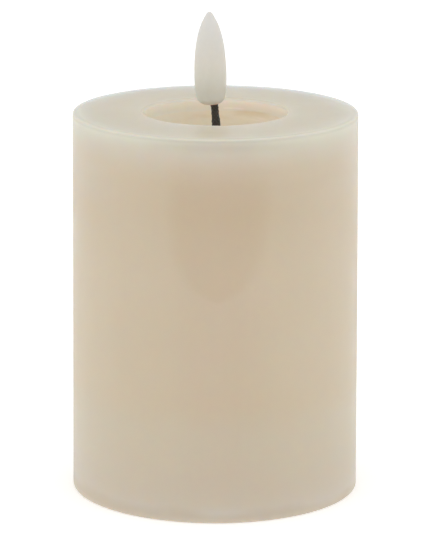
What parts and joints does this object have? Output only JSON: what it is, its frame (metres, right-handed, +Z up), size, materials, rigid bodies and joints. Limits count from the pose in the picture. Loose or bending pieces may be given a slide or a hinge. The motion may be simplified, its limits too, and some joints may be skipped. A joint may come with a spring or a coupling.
{
  "type": "flameless led candle",
  "caption": "Ivory pillar candle lamp: hollow wax shell with a deep melt bowl, frosted flame bulb on a black wick, battery base with hinged door and slide switch.",
  "frame": {"origin": "centre of the flat underside of the wax shell", "axes": "+Z up along the pillar's axis, -Y towards the viewer (front), +X to the viewer's right"},
  "size_m": [0.075, 0.075, 0.126],
  "materials": {
    "wax": "paraffin wax, satin, lets light through",
    "frosted_plastic": "frosted translucent",
    "hot_glue_clear": "milky hot-melt glue",
    "led_epoxy": "clear tinted epoxy",
    "tinned_wire": "tinned",
    "black_braid": "woven cotton sleeve, matt",
    "enamel_wire": "enamelled copper",
    "black_rubber": "matt",
    "ivory_plastic": "moulded, fine grain",
    "zinc_screw": "zinc plated",
    "cell_wrap": "shrink sleeve",
    "nickel_strip": "nickel plated strip",
    "spring_steel": "nickel plated spring wire",
    "switch_steel": "stamped, zinc plated",
    "black_plastic": "moulded",
    "board_green": "solder resist over fibreglass",
    "crystal_can": "drawn can",
    "capacitor_sleeve": "sleeved aluminium can",
    "red_wire": "PVC insulation",
    "black_wire": "PVC insulation"
  },
  "bodies": {
    "candle": {"base_screws": "zinc_screw", "base_tray": "ivory_plastic", "battery_front": "cell_wrap", "battery_rear": "cell_wrap", "board_screws": "zinc_screw", "bulb_plug": "hot_glue_clear", "capacitor": "capacitor_sleeve", "chip_resistors": "black_plastic", "circuit_board": "board_green", "contact_bridge": "nickel_strip", "contact_negative": "nickel_strip", "contact_positive": "nickel_strip", "flame_bulb": "frosted_plastic", "glue_dabs": "hot_glue_clear", "led_emitter": "led_epoxy", "led_pins": "tinned_wire", "module_cup": "ivory_plastic", "spring_bridge": "spring_steel", "spring_negative": "spring_steel", "switch_case": "black_plastic", "switch_frame": "switch_steel", "switch_terminals": "tinned_wire", "switch_wires": "black_wire", "timer_chip": "black_plastic", "timer_crystal": "crystal_can", "wax_body": "wax", "wick_grommet": "black_rubber", "wick_leads": "enamel_wire", "wick_sleeve": "black_braid", "wire_negative": "black_wire", "wire_positive": "red_wire", "wire_tube": "black_rubber"},
    "battery_door": {"battery_door": "ivory_plastic"},
    "switch_knob": {"switch_knob": "black_plastic"}
  },
  "joints": [
    {"name": "battery_door_hinge", "type": "hinge", "parent": "candle", "child": "battery_door", "pos_m": [0, -0.0182, 0.0023], "axis": [-1, 0, 0], "range_deg": [0, 100]},
    {"name": "switch_slide", "type": "slide", "parent": "candle", "child": "switch_knob", "axis": [1, 0, 0], "range_m": [0, 0.005]}
  ]
}
